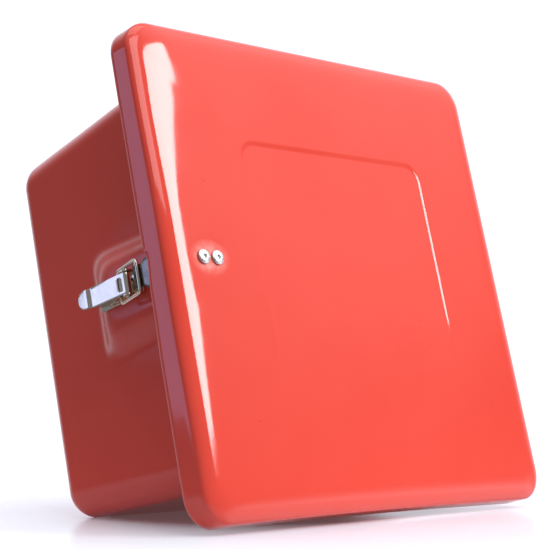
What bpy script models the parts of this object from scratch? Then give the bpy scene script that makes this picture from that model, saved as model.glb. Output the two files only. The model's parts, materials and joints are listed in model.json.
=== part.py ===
"""A moulded glass-fibre lunch box: a square tub with a hinged tray lid, two butt hinges and a draw latch.

Frame: metres, +Z up. The origin is the middle of the flat base. The latch is on -Y, the hinges on +Y.
"""
import math

import bmesh
import bpy
from mathutils import Matrix, Vector

MM = 0.001

# Whole box
HEIGHT = 171 * MM
WALL = 3 * MM                    # laminate thickness
GAP = 0.3 * MM                   # clearance between neighbouring pieces

# Lid: a shallow tray, open downwards
LID_HALF_X = 150 * MM
LID_HALF_Y = 152 * MM
RIM_DEPTH = 22 * MM
LID_CORNER_RADIUS = 18 * MM
LID_EDGE_RADIUS = 10 * MM

# Tub: a tapered box with a flange around its mouth
TUB_BASE_HALF_X = 117.5 * MM
TUB_BASE_HALF_Y = 119.5 * MM
TUB_DRAFT = 9.5 * MM             # how far each wall leans out from base to mouth
TUB_CORNER_RADIUS = 17 * MM
TUB_EDGE_RADIUS = 14 * MM
SEAL_HEIGHT = 5.7 * MM
FLANGE_TO_RIM = 2 * MM           # space between the flange's edge and the lid's rim

# Raised pads on the walls that bring the latch and the hinges out to the rim
PAD_CREST = 138 * MM             # distance of the pad's flat crest from the middle of the box
PAD_HALF_WIDTH = 20 * MM
PAD_BOTTOM = 88 * MM
PAD_CORNER_RADIUS = 6 * MM
PAD_EDGE_RADIUS = 4 * MM
PAD_DEPTH = 16 * MM              # from the crest to the foot of the flanks, inside the wall
HINGE_X = 62 * MM                # hinges and their pads stand this far to each side

# Seal
SEAL_WIDTH = 7.5 * MM
SEAL_INSET = 3.5 * MM            # from the flange's edge to the seal

# Fasteners
SHANK_RADIUS = 2.0 * MM
HOLE_RADIUS = 2.3 * MM
KEEPER_RIVET_HEAD = 4.4 * MM
PLATE_RIVET_HEAD = 3.2 * MM
RIVET_TAIL_RADIUS = 2.8 * MM
RIVET_TAIL = 2.4 * MM
BACKING = 1.0 * MM               # thickness of the backing plates inside the walls

# Draw latch, seen along X: "out" is the distance from the middle of the box towards -Y
SHEET = 1.2 * MM                 # latch sheet metal
LEVER_PIVOT_OUT = 146.2 * MM
LEVER_PIVOT_Z = 125.2 * MM
BAIL_PIVOT_OUT = 144.3 * MM
BAIL_PIVOT_Z = 116 * MM
BASE_BOTTOM = 90 * MM
BASE_TOP = 130.4 * MM
BASE_HALF_WIDTH = 7.8 * MM
EAR_RADIUS = 3.4 * MM
LATCH_PIN_RADIUS = 1.2 * MM
ROLL_RADIUS = 2.6 * MM           # outside of the lever's rolled end
LEVER_HALF_WIDTH = 6.3 * MM
LEVER_OUT = 149.0 * MM           # outer face of the lever's channel
TAB_OUT = 150.6 * MM             # outer face of its raised thumb tab
TAB_RADIUS = 5.8 * MM
TAB_END = 83.5 * MM
CHANNEL_BOTTOM = 95 * MM
CHANNEL_TOP = 119 * MM
CHANNEL_DEPTH = 7.5 * MM
SLOT_HALF_WIDTH = 4.2 * MM
SLOT_BOTTOM = CHANNEL_TOP + 0.8 * MM
SLOT_TOP = CHANNEL_TOP + 2.4 * MM
EAR_ROOT = 6 * MM                # half the height of an ear where it meets the base plate
BASE_CORNER = 2.5 * MM
LATCH_BACKING_HALF_WIDTH = 7 * MM
BACKING_MARGIN = 5 * MM          # from a rivet to the backing plate's end
WIRE_RADIUS = 1.1 * MM
BAIL_HALF_WIDTH = 9.9 * MM
BAIL_CORNER = 2.4 * MM
BASE_RIVET_Z = (99 * MM, 111.5 * MM)

# Keeper: a strap riveted under the lid that comes out below the rim and curls into a hook
KEEPER_HALF_WIDTH = 9 * MM
HOOK_HALF_WIDTH = 6.9 * MM
KEEPER_END = 108 * MM            # inner end of the strap
KEEPER_RIVET_OUT = (115 * MM, 125.6 * MM)
KEEPER_RIVET_X = -3 * MM
KEEPER_BEND = 7 * MM             # outside radius of the strap's bend under the lid's corner
NECK = 4 * MM                    # from the rim's edge down to where the strap narrows
HOOK_LIP_ANGLE = 315             # degrees: the curl starts at 180, with its lowest point at 270
HOOK_Z = 140 * MM                # centre of the hook's curl, where the bail's crossbar lies

# Hinges
LEAF = 1.5 * MM
LEAF_HALF_WIDTH = 18 * MM
KNUCKLE_RADIUS = 3.5 * MM
HINGE_PIN_RADIUS = 1.5 * MM
HINGE_Z = 145.2 * MM
TUB_LEAF_BOTTOM = 104 * MM
TUB_LEAF_RIVET_Z = 116 * MM
CRANK_START = 136.5 * MM
LID_LEAF_TOP = 162 * MM
LID_LEAF_RIVET_Z = 154.6 * MM
HINGE_RIVET_SPACING = 10 * MM    # each side of a hinge's middle
HINGE_BACKING_HALF_WIDTH = 16 * MM

# Heights that follow
RIM_BOTTOM = HEIGHT - RIM_DEPTH
LID_UNDERSIDE = HEIGHT - WALL
SEAL_TOP = LID_UNDERSIDE - GAP
FLANGE_TOP = SEAL_TOP - SEAL_HEIGHT - GAP
FLANGE_BOTTOM = FLANGE_TOP - WALL
FLANGE_HALF_X = LID_HALF_X - WALL - FLANGE_TO_RIM
FLANGE_HALF_Y = LID_HALF_Y - WALL - FLANGE_TO_RIM
HINGE_Y = LID_HALF_Y + GAP + KNUCKLE_RADIUS
HOOK_INNER = WIRE_RADIUS + GAP
KEEPER_LEG_OUT = LID_HALF_Y - WALL - 0.4 * MM     # outer face of the keeper's upright leg
HOOK_OUT = KEEPER_LEG_OUT + HOOK_INNER

ROUND_STEPS = 24
ALONG_X = Matrix.Rotation(math.radians(90), 4, "Y")


def clear_scene():
    for item in list(bpy.data.objects):
        bpy.data.objects.remove(item, do_unlink=True)


def new_collection(name):
    collection = bpy.data.collections.new(name)
    bpy.context.scene.collection.children.link(collection)
    return collection


def make_material(name, colour, roughness, metallic):
    material = bpy.data.materials.new(name)
    material.use_nodes = True
    shader = material.node_tree.nodes["Principled BSDF"]
    shader.inputs["Base Color"].default_value = (*colour, 1)
    shader.inputs["Roughness"].default_value = roughness
    shader.inputs["Metallic"].default_value = metallic
    return material


clear_scene()
PARTS = new_collection("lunch_box")
CUTTERS = new_collection("cutters_and_guides")
COLOURS = {
    "gelcoat_red": ((0.78, 0.07, 0.04), 0.15, 0.0),
    "seal_rubber": ((0.03, 0.03, 0.03), 0.8, 0.0),
    "bright_steel": ((0.80, 0.82, 0.83), 0.12, 1.0),
    "plain_steel": ((0.45, 0.46, 0.47), 0.3, 1.0),
    "rivet_aluminium": ((0.75, 0.75, 0.74), 0.35, 1.0),
}


# ---------------------------------------------------------------- helpers

def add_object(name, bm, finish=None):
    """Turn a bmesh into a part with its own material, or into a cutter when no finish is given."""
    bmesh.ops.recalc_face_normals(bm, faces=bm.faces)
    mesh = bpy.data.meshes.new(name)
    bm.to_mesh(mesh)
    bm.free()
    item = bpy.data.objects.new(name, mesh)
    place(item, finish)
    return item


def place(item, finish):
    """Link an object as a part, with its own material, or as a hidden cutter."""
    if finish is None:
        CUTTERS.objects.link(item)
        item.hide_render = True
        item.display_type = "WIRE"
        return
    PARTS.objects.link(item)
    item.data.materials.append(make_material(item.name, *COLOURS[finish]))


def smooth(item):
    item.data.shade_smooth()
    item.data.set_sharp_from_angle(angle=math.radians(35))


def add_solid(item, other, operation):
    modifier = item.modifiers.new(f"{operation.lower()}_{other.name}", "BOOLEAN")
    modifier.operation = operation
    modifier.object = other


def join(item, other):
    add_solid(item, other, "UNION")


def cut(item, cutter):
    add_solid(item, cutter, "DIFFERENCE")


def solidify(item, thickness, offset):
    modifier = item.modifiers.new("thickness", "SOLIDIFY")
    modifier.thickness = thickness
    modifier.offset = offset
    modifier.use_even_offset = True


def block(low, high):
    """A box between two corners."""
    bm = bmesh.new()
    size = Vector(high) - Vector(low)
    middle = (Vector(high) + Vector(low)) / 2
    bmesh.ops.create_cube(bm, size=1, matrix=Matrix.Translation(middle) @ Matrix.Diagonal((*size, 1)))
    return bm


def rounded_block(half_low, half_high, z_low, z_high, corner_radius, corner_steps=6):
    """A block with round upright corners, whose plan may differ between its bottom and its top."""
    bm = bmesh.new()
    bmesh.ops.create_cube(bm, size=2)
    for vert in bm.verts:
        half, z = (half_high, z_high) if vert.co.z > 0 else (half_low, z_low)
        vert.co = (vert.co.x * half[0], vert.co.y * half[1], z)
    upright = [e for e in bm.edges if abs(e.verts[0].co.z - e.verts[1].co.z) > 0.5 * (z_high - z_low)]
    bmesh.ops.bevel(
        bm, geom=upright, offset=corner_radius, segments=corner_steps, profile=0.5, affect="EDGES",
    )
    return bm


def round_rim(bm, z, radius, steps=5):
    """Round over the edges that lie all the way round at one height."""
    rim = [e for e in bm.edges if all(abs(v.co.z - z) < 0.01 * MM for v in e.verts)]
    bmesh.ops.bevel(bm, geom=rim, offset=radius, segments=steps, profile=0.5, affect="EDGES")


def remove_cap(bm, z):
    """Open a solid by removing the flat faces at one height."""
    caps = [f for f in bm.faces if all(abs(v.co.z - z) < 0.01 * MM for v in f.verts)]
    bmesh.ops.delete(bm, geom=caps, context="FACES")


def rod(start, end, radius, steps=ROUND_STEPS):
    """A plain cylinder between two points."""
    start, end = Vector(start), Vector(end)
    turn = (end - start).to_track_quat("Z", "Y").to_matrix().to_4x4()
    bm = bmesh.new()
    bmesh.ops.create_cone(
        bm, cap_ends=True, segments=steps, radius1=radius, radius2=radius, depth=(end - start).length,
        matrix=Matrix.Translation((start + end) / 2) @ turn,
    )
    return bm


def turned(name, profile, matrix, finish, steps=ROUND_STEPS):
    """A turned piece: (radius, height) points from its top to its bottom, spun about its own Z axis."""
    bm = bmesh.new()
    verts = [bm.verts.new((radius, 0, height)) for radius, height in profile]
    for first, second in zip(verts, verts[1:]):
        bm.edges.new((first, second))
    mesh = bpy.data.meshes.new(name)
    bm.to_mesh(mesh)
    bm.free()
    item = bpy.data.objects.new(name, mesh)
    place(item, finish)
    screw = item.modifiers.new("turn", "SCREW")
    screw.steps = steps
    screw.render_steps = steps
    screw.use_merge_vertices = True
    screw.merge_threshold = 0.00001
    screw.use_smooth_shade = False
    item.matrix_world = matrix
    return item


def arc(centre, radius, start_deg, end_deg, steps):
    """Points (out, z) on an arc; 0 degrees points outwards and 90 degrees up."""
    points = []
    for step in range(steps + 1):
        angle = math.radians(start_deg + (end_deg - start_deg) * step / steps)
        points.append((centre[0] + radius * math.cos(angle), centre[1] + radius * math.sin(angle)))
    return points


def bent_sheet(rows):
    """An open sheet through rows of (out, z, half width), for a strap or lever on the latch side."""
    bm = bmesh.new()
    pairs = []
    for out, z, half in rows:
        pairs.append([bm.verts.new((side * half, -out, z)) for side in (-1, 1)])
    for (a, b), (c, d) in zip(pairs, pairs[1:]):
        bm.faces.new((a, b, d, c))
    return bm


def side_profile(points, half_width, x_middle=0.0):
    """A solid whose outline in Y and Z is the given (y, z) points, extruded along X."""
    bm = bmesh.new()
    ring = [bm.verts.new((x_middle - half_width, y, z)) for y, z in points]
    face = bm.faces.new(ring)
    grown = bmesh.ops.extrude_face_region(bm, geom=[face])
    moved = [v for v in grown["geom"] if isinstance(v, bmesh.types.BMVert)]
    bmesh.ops.translate(bm, verts=moved, vec=(2 * half_width, 0, 0))
    return bm


def axis_empty(name, location):
    """An empty on a joint's axis, which the moving pieces hang on."""
    empty = bpy.data.objects.new(name, None)
    empty.location = location
    PARTS.objects.link(empty)
    return empty


def hang_on(empty, items):
    for item in items:
        item.parent = empty
        item.matrix_parent_inverse = Matrix.Translation(-Vector(empty.location))


def rivet(name, head_seat, inward, grip, head_radius):
    """A blind rivet: domed head with its mandrel hole, shank, and formed tail behind the grip."""
    dome = 0.32 * head_radius
    hole = 1.1 * MM
    profile = [(0, -0.6 * MM), (hole, -0.6 * MM), (hole, dome)]
    for step in range(1, 4):
        angle = math.radians(30 * step)
        reach = hole + (head_radius - hole) * math.sin(angle)
        profile.append((reach, 0.3 * MM + (dome - 0.3 * MM) * math.cos(angle)))
    profile += [(head_radius, 0), (SHANK_RADIUS, 0), (SHANK_RADIUS, -grip)]
    profile += [(RIVET_TAIL_RADIUS, -grip - 0.5 * MM), (RIVET_TAIL_RADIUS, -grip - 0.7 * RIVET_TAIL)]
    profile += [(hole, -grip - RIVET_TAIL), (0, -grip - RIVET_TAIL)]
    turn = (-Vector(inward)).to_track_quat("Z", "Y").to_matrix().to_4x4()
    return turned(name, profile, Matrix.Translation(head_seat) @ turn, "rivet_aluminium", steps=12)


# ---------------------------------------------------------------- tub

def pad_block(name, x_middle, side, inset):
    """The raised pad as a solid with 45 degree flanks; inset shrinks it to the hollow behind it."""
    crest = PAD_CREST - inset
    half_width = PAD_HALF_WIDTH - inset * (math.sqrt(2) - 1)
    corner = PAD_CORNER_RADIUS - inset * (math.sqrt(2) - 1)
    top = FLANGE_TOP - 0.5 * WALL if inset == 0 else FLANGE_TOP + 2 * WALL
    levels = [(PAD_DEPTH, crest - PAD_DEPTH)]
    edge_centre = (-PAD_EDGE_RADIUS * math.tan(math.pi / 8), crest - PAD_EDGE_RADIUS)
    for spread, out in arc(edge_centre, PAD_EDGE_RADIUS, 45, 90, 3):
        levels.append((spread, out))
    bm = bmesh.new()
    for spread, out in levels:
        reach = half_width + spread
        outline = [(-reach, top), (reach, top)]
        centre_x = half_width - corner
        centre_z = PAD_BOTTOM + corner
        outline += arc((-centre_x, centre_z), corner + spread, 180, 270, 4)
        outline += arc((centre_x, centre_z), corner + spread, 270, 360, 4)
        for x, z in outline:
            bm.verts.new((x_middle + x, side * out, z))
    hull = bmesh.ops.convex_hull(bm, input=bm.verts)
    bmesh.ops.delete(bm, geom=hull["geom_interior"], context="VERTS")
    bmesh.ops.dissolve_limit(bm, angle_limit=math.radians(0.5), verts=bm.verts, edges=bm.edges)
    return add_object(name, bm)


def make_tub():
    """The tub: tapered outside, flange and pads joined, inside and holes cut."""
    base_half = (TUB_BASE_HALF_X, TUB_BASE_HALF_Y)
    mouth_half = (TUB_BASE_HALF_X + TUB_DRAFT, TUB_BASE_HALF_Y + TUB_DRAFT)
    outside = rounded_block(base_half, mouth_half, 0, FLANGE_TOP, TUB_CORNER_RADIUS)
    round_rim(outside, 0, TUB_EDGE_RADIUS)
    tub = add_object("tub", outside, "gelcoat_red")

    lean = TUB_DRAFT / FLANGE_TOP
    hollow_top = FLANGE_TOP + WALL
    hollow_low = tuple(h - WALL + lean * WALL for h in base_half)
    hollow_high = tuple(h - WALL + lean * WALL for h in mouth_half)
    hollow = rounded_block(hollow_low, hollow_high, WALL, hollow_top, TUB_CORNER_RADIUS - WALL)
    round_rim(hollow, WALL, TUB_EDGE_RADIUS - WALL)
    flange_half = (FLANGE_HALF_X, FLANGE_HALF_Y)
    flange_corner = LID_CORNER_RADIUS - WALL - FLANGE_TO_RIM
    flange = rounded_block(flange_half, flange_half, FLANGE_BOTTOM, FLANGE_TOP, flange_corner)
    join(tub, add_object("flange_plate", flange))

    pads = (("latch_pad", 0.0, -1), ("left_hinge_pad", -HINGE_X, 1), ("right_hinge_pad", HINGE_X, 1))
    for name, x, side in pads:
        join(tub, pad_block(name, x, side, 0))
    cut(tub, add_object("tub_hollow", hollow))
    for name, x, side in pads:
        cut(tub, pad_block(f"{name}_hollow", x, side, WALL))

    notch_low = (-KEEPER_HALF_WIDTH - 2 * MM, -LID_HALF_Y, FLANGE_BOTTOM - WALL)
    notch_high = (KEEPER_HALF_WIDTH + 2 * MM, -(KEEPER_LEG_OUT - SHEET - 2.4 * MM), FLANGE_TOP + WALL)
    cut(tub, add_object("keeper_notch", block(notch_low, notch_high)))
    cut(tub, add_object("tub_rivet_holes", tub_holes()))
    smooth(tub)
    return tub


def tub_holes():
    """Rivet holes through the three pads, as separate cylinders in one cutter."""
    places = [(0.0, -1, z) for z in BASE_RIVET_Z]
    for middle in (-HINGE_X, HINGE_X):
        places += [(middle + s * HINGE_RIVET_SPACING, 1, TUB_LEAF_RIVET_Z) for s in (-1, 1)]
    holes = bmesh.new()
    for x, side, z in places:
        one = rod((x, side * (PAD_CREST - 3 * WALL), z), (x, side * (PAD_CREST + WALL), z), HOLE_RADIUS, 16)
        spare = bpy.data.meshes.new("hole")
        one.to_mesh(spare)
        one.free()
        holes.from_mesh(spare)
        bpy.data.meshes.remove(spare)
    return holes


# ---------------------------------------------------------------- lid and seal

def make_lid():
    """The lid: a rounded tray opened at its lower side and thickened inwards."""
    half = (LID_HALF_X, LID_HALF_Y)
    bm = rounded_block(half, half, RIM_BOTTOM, HEIGHT, LID_CORNER_RADIUS)
    round_rim(bm, HEIGHT, LID_EDGE_RADIUS)
    remove_cap(bm, RIM_BOTTOM)
    lid = add_object("lid", bm, "gelcoat_red")
    solidify(lid, WALL, -1)
    for number, out in enumerate(KEEPER_RIVET_OUT):
        low = (KEEPER_RIVET_X, -out, LID_UNDERSIDE - WALL)
        high = (KEEPER_RIVET_X, -out, HEIGHT + WALL)
        cut(lid, add_object(f"keeper_rivet_hole_{number + 1}", rod(low, high, HOLE_RADIUS, 16)))
    for number, x in enumerate(hinge_rivet_places()):
        start = (x, LID_HALF_Y - 2 * WALL, LID_LEAF_RIVET_Z)
        end = (x, LID_HALF_Y + WALL, LID_LEAF_RIVET_Z)
        cut(lid, add_object(f"rim_rivet_hole_{number + 1}", rod(start, end, HOLE_RADIUS, 16)))
    smooth(lid)
    return lid


def hinge_rivet_places():
    return [m + s * HINGE_RIVET_SPACING for m in (-HINGE_X, HINGE_X) for s in (-1, 1)]


def make_seal():
    """The rubber seal: a square ring under the lid, with a shallow channel for the keeper's strap."""
    outer = (FLANGE_HALF_X - SEAL_INSET, FLANGE_HALF_Y - SEAL_INSET)
    inner = tuple(h - SEAL_WIDTH for h in outer)
    corner = LID_CORNER_RADIUS - WALL - FLANGE_TO_RIM - SEAL_INSET
    bottom = SEAL_TOP - SEAL_HEIGHT
    seal = add_object("lid_seal", rounded_block(outer, outer, bottom, SEAL_TOP, corner), "seal_rubber")
    opening = rounded_block(inner, inner, bottom - WALL, SEAL_TOP + WALL, corner - SEAL_WIDTH + 3 * MM)
    cut(seal, add_object("seal_opening", opening))
    low = (-KEEPER_HALF_WIDTH - MM, -LID_HALF_Y, LID_UNDERSIDE - GAP - SHEET - MM)
    high = (KEEPER_HALF_WIDTH + MM, -KEEPER_END, HEIGHT)
    cut(seal, add_object("strap_channel", block(low, high)))
    smooth(seal)
    return seal


# ---------------------------------------------------------------- keeper

def make_keeper():
    """The keeper: flat under the lid, bent down inside the rim, curled outwards into the hook."""
    bend = KEEPER_BEND - SHEET / 2
    flat_z = LID_UNDERSIDE - GAP - SHEET / 2
    leg_out = KEEPER_LEG_OUT - SHEET / 2
    narrowing = RIM_BOTTOM - NECK
    rows = [(KEEPER_END, flat_z, KEEPER_HALF_WIDTH)]
    corner = arc((leg_out - bend, flat_z - bend), bend, 90, 0, 6)
    rows += [(out, z, KEEPER_HALF_WIDTH) for out, z in corner]
    rows += [(leg_out, narrowing, KEEPER_HALF_WIDTH), (leg_out, narrowing - 1.5 * MM, HOOK_HALF_WIDTH)]
    hook = arc((HOOK_OUT, HOOK_Z), HOOK_INNER + SHEET / 2, 180, HOOK_LIP_ANGLE, 10)
    rows += [(out, z, HOOK_HALF_WIDTH) for out, z in hook]
    keeper = add_object("latch_keeper", bent_sheet(rows), "bright_steel")
    solidify(keeper, SHEET, 0)
    for number, out in enumerate(KEEPER_RIVET_OUT):
        low = (KEEPER_RIVET_X, -out, flat_z - WALL)
        high = (KEEPER_RIVET_X, -out, flat_z + WALL)
        cut(keeper, add_object(f"strap_hole_{number + 1}", rod(low, high, HOLE_RADIUS, 16)))
    smooth(keeper)
    return keeper


def make_keeper_rivets():
    grip = WALL + GAP + SHEET + 2 * GAP
    return [
        rivet(
            f"keeper_rivet_{n + 1}", (KEEPER_RIVET_X, -out, HEIGHT + GAP), (0, 0, -1), grip, KEEPER_RIVET_HEAD,
        )
        for n, out in enumerate(KEEPER_RIVET_OUT)
    ]


# ---------------------------------------------------------------- latch on the tub

def make_latch_base():
    """The latch's base plate, with two ears bent out to carry the lever's pin."""
    foot = PAD_CREST + GAP
    low = (-BASE_HALF_WIDTH, -(foot + SHEET), BASE_BOTTOM)
    high = (BASE_HALF_WIDTH, -foot, BASE_TOP)
    plate = block(low, high)
    ends = [e for e in plate.edges if abs(e.verts[0].co.y - e.verts[1].co.y) > 0.5 * SHEET]
    bmesh.ops.bevel(plate, geom=ends, offset=BASE_CORNER, segments=4, profile=0.5, affect="EDGES")
    base = add_object("latch_base", plate, "bright_steel")
    tip = [(-out, z) for out, z in arc((LEVER_PIVOT_OUT, LEVER_PIVOT_Z), EAR_RADIUS, 90, -90, 10)]
    root = -foot - 0.2 * MM
    outline = tip + [(root, LEVER_PIVOT_Z - EAR_ROOT), (root, LEVER_PIVOT_Z + EAR_ROOT)]
    for name, side in (("left_ear", -1), ("right_ear", 1)):
        middle = side * (BASE_HALF_WIDTH - SHEET / 2)
        join(base, add_object(name, side_profile(outline, SHEET / 2, middle)))
    bore = rod(
        (-2 * BASE_HALF_WIDTH, -LEVER_PIVOT_OUT, LEVER_PIVOT_Z),
        (2 * BASE_HALF_WIDTH, -LEVER_PIVOT_OUT, LEVER_PIVOT_Z), LATCH_PIN_RADIUS + GAP,
    )
    cut(base, add_object("ear_bore", bore))
    for number, z in enumerate(BASE_RIVET_Z):
        hole = rod((0, -foot + WALL, z), (0, -foot - WALL, z), HOLE_RADIUS, 16)
        cut(base, add_object(f"base_hole_{number + 1}", hole))
    smooth(base)
    return base


def headed_pin(name, middle, radius, head, half, head_foot, chamfer):
    """A pin along X with a flat head at each end, outside the two places that its heads bear on."""
    upper = [(0, half), (radius, half), (head, half - chamfer), (head, head_foot), (radius, head_foot)]
    lower = [(r, -height) for r, height in reversed(upper)]
    return turned(name, upper + lower, Matrix.Translation(middle) @ ALONG_X, "plain_steel", steps=16)


def make_lever_pin():
    """The lever's pin through both ears."""
    half = BASE_HALF_WIDTH + 0.75 * MM
    middle = (0, -LEVER_PIVOT_OUT, LEVER_PIVOT_Z)
    return headed_pin(
        "latch_lever_pin", middle, LATCH_PIN_RADIUS, LATCH_PIN_RADIUS + 0.6 * MM, half,
        BASE_HALF_WIDTH + GAP, 0.3 * MM,
    )


def make_lever():
    """The lever: round thumb tab, step, channel with side flanges, slot, and the end rolled round its pin."""
    half_sheet = SHEET / 2
    rows = []
    tab_middle = TAB_END + TAB_RADIUS
    for step in range(1, 7):
        angle = math.radians(15 * step)
        z = tab_middle - TAB_RADIUS * math.cos(angle)
        rows.append((TAB_OUT - half_sheet, z, TAB_RADIUS * math.sin(angle)))
    rows.append((TAB_OUT - half_sheet, CHANNEL_BOTTOM - 3 * MM, TAB_RADIUS))
    rows.append((LEVER_OUT - half_sheet, CHANNEL_BOTTOM - 1.2 * MM, TAB_RADIUS))
    rows.append((LEVER_OUT - half_sheet, CHANNEL_BOTTOM, LEVER_HALF_WIDTH))
    bend_z = BAIL_PIVOT_Z - 0.5 * MM
    rows.append((LEVER_OUT - half_sheet, bend_z, LEVER_HALF_WIDTH))
    roll = arc((LEVER_PIVOT_OUT, LEVER_PIVOT_Z), ROLL_RADIUS - half_sheet, 0, 250, 14)
    rows += [(out, z, LEVER_HALF_WIDTH) for out, z in roll]
    lever = add_object("latch_lever", bent_sheet(rows), "bright_steel")
    solidify(lever, SHEET, 0)
    inner_edge = LEVER_OUT - CHANNEL_DEPTH
    outer_edge = LEVER_OUT - 0.4 * MM
    flank = [
        (-outer_edge, CHANNEL_BOTTOM + MM), (-inner_edge, CHANNEL_BOTTOM + 3 * MM),
        (-inner_edge, CHANNEL_TOP - 2 * MM), (-inner_edge - 2 * MM, CHANNEL_TOP), (-outer_edge, CHANNEL_TOP),
    ]
    for name, side in (("left_flank", -1), ("right_flank", 1)):
        middle = side * (LEVER_HALF_WIDTH - half_sheet)
        join(lever, add_object(name, side_profile(flank, half_sheet - 0.01 * MM, middle)))
    slot_low = (-SLOT_HALF_WIDTH, -LID_HALF_Y, SLOT_BOTTOM)
    slot_high = (SLOT_HALF_WIDTH, -LEVER_PIVOT_OUT, SLOT_TOP)
    cut(lever, add_object("lever_slot", block(slot_low, slot_high)))
    wire_hole = rod(
        (-2 * LEVER_HALF_WIDTH, -BAIL_PIVOT_OUT, BAIL_PIVOT_Z),
        (2 * LEVER_HALF_WIDTH, -BAIL_PIVOT_OUT, BAIL_PIVOT_Z), WIRE_RADIUS + GAP,
    )
    cut(lever, add_object("wire_holes", wire_hole))
    smooth(lever)
    return lever


def make_bail():
    """The bail: one wire bent into a loop, its two ends turned in through the lever's flanks."""
    foot = Vector((0, -BAIL_PIVOT_OUT, BAIL_PIVOT_Z))
    top = Vector((0, -HOOK_OUT, HOOK_Z))
    up = (top - foot).normalized()
    length = (top - foot).length
    inner_end = LEVER_HALF_WIDTH - SHEET - 0.8 * MM
    half_loop = [(inner_end, 0)]
    for step in range(5):
        angle = math.radians(90 * step / 4)
        across = BAIL_HALF_WIDTH - BAIL_CORNER * (1 - math.sin(angle))
        half_loop.append((across, BAIL_CORNER * (1 - math.cos(angle))))
    for step in range(5):
        angle = math.radians(90 * step / 4)
        across = BAIL_HALF_WIDTH - BAIL_CORNER * (1 - math.cos(angle))
        half_loop.append((across, length - BAIL_CORNER * (1 - math.sin(angle))))
    points = [Vector((-x, 0, 0)) + foot + up * along for x, along in half_loop]
    points += [Vector((x, 0, 0)) + foot + up * along for x, along in reversed(half_loop)]
    curve = bpy.data.curves.new("latch_bail", "CURVE")
    curve.dimensions = "3D"
    curve.bevel_depth = WIRE_RADIUS
    curve.bevel_resolution = 2
    curve.use_fill_caps = True
    spline = curve.splines.new("POLY")
    spline.points.add(len(points) - 1)
    for spot, point in zip(spline.points, points):
        spot.co = (*point, 1)
    bail = bpy.data.objects.new("latch_bail", curve)
    place(bail, "bright_steel")
    return bail


def make_latch_fixings():
    """The two rivets of the latch's base plate and the backing plate inside the tub."""
    seat = PAD_CREST + GAP + SHEET + GAP
    grip = seat - (PAD_CREST - WALL) + GAP + BACKING + GAP
    made = [
        rivet(f"latch_base_rivet_{n + 1}", (0, -seat, z), (0, 1, 0), grip, PLATE_RIVET_HEAD)
        for n, z in enumerate(BASE_RIVET_Z)
    ]
    made.append(backing_plate(
        "latch_backing_plate", 0.0, -1, LATCH_BACKING_HALF_WIDTH, BASE_RIVET_Z[0] - BACKING_MARGIN,
        BASE_RIVET_Z[1] + BACKING_MARGIN, [(0.0, z) for z in BASE_RIVET_Z], PAD_CREST - WALL - GAP,
    ))
    return made


def backing_plate(name, x_middle, side, half_width, bottom, top, holes, face):
    """A flat plate inside a wall that spreads the pull of its rivets."""
    near, far = sorted((side * face, side * (face - BACKING)))
    low = (x_middle - half_width, near, bottom)
    high = (x_middle + half_width, far, top)
    plate = add_object(name, block(low, high), "plain_steel")
    for number, (x, z) in enumerate(holes):
        hole = rod((x, near - WALL, z), (x, far + WALL, z), HOLE_RADIUS, 16)
        cut(plate, add_object(f"{name}_hole_{number + 1}", hole))
    return plate


# ---------------------------------------------------------------- hinges

def knuckle(name, x_low, x_high):
    return add_object(name, rod((x_low, HINGE_Y, HINGE_Z), (x_high, HINGE_Y, HINGE_Z), KNUCKLE_RADIUS))


def bore_knuckles(leaf, name, middle):
    reach = LEAF_HALF_WIDTH + WALL
    low = (middle - reach, HINGE_Y, HINGE_Z)
    high = (middle + reach, HINGE_Y, HINGE_Z)
    cut(leaf, add_object(f"{name}_bore", rod(low, high, HINGE_PIN_RADIUS + GAP)))


def make_tub_leaf(name, middle):
    """The lower leaf: flat on the pad, cranked out under the rim, with the middle knuckle."""
    inner = PAD_CREST + GAP
    outer = inner + LEAF
    strip_top = HINGE_Z - KNUCKLE_RADIUS + LEAF
    strip_bottom = HINGE_Z - KNUCKLE_RADIUS
    rise = strip_bottom - CRANK_START
    outline = [
        (inner, TUB_LEAF_BOTTOM), (outer, TUB_LEAF_BOTTOM), (outer, CRANK_START),
        (outer + rise, strip_bottom), (HINGE_Y, strip_bottom), (HINGE_Y, strip_top), (inner + rise + 0.3 * LEAF, strip_top),
        (inner, CRANK_START + 0.4 * LEAF),
    ]
    leaf = add_object(name, side_profile(outline, LEAF_HALF_WIDTH, middle), "bright_steel")
    third = LEAF_HALF_WIDTH / 3
    for side in (-1, 1):
        near, far = sorted((middle + side * third, middle + side * (LEAF_HALF_WIDTH + WALL)))
        low = (near, HINGE_Y - KNUCKLE_RADIUS - 0.6 * MM, HINGE_Z - 2 * KNUCKLE_RADIUS)
        high = (far, HINGE_Y + 2 * KNUCKLE_RADIUS, HINGE_Z + 2 * KNUCKLE_RADIUS)
        cut(leaf, add_object(f"{name}_clearance_{'left' if side < 0 else 'right'}", block(low, high)))
    join(leaf, knuckle(f"{name}_knuckle", middle - third, middle + third))
    bore_knuckles(leaf, name, middle)
    for side in (-1, 1):
        x = middle + side * HINGE_RIVET_SPACING
        start = (x, inner - WALL, TUB_LEAF_RIVET_Z)
        hole = rod(start, (x, outer + WALL, TUB_LEAF_RIVET_Z), HOLE_RADIUS, 16)
        cut(leaf, add_object(f"{name}_hole_{'left' if side < 0 else 'right'}", hole))
    smooth(leaf)
    return leaf


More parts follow.
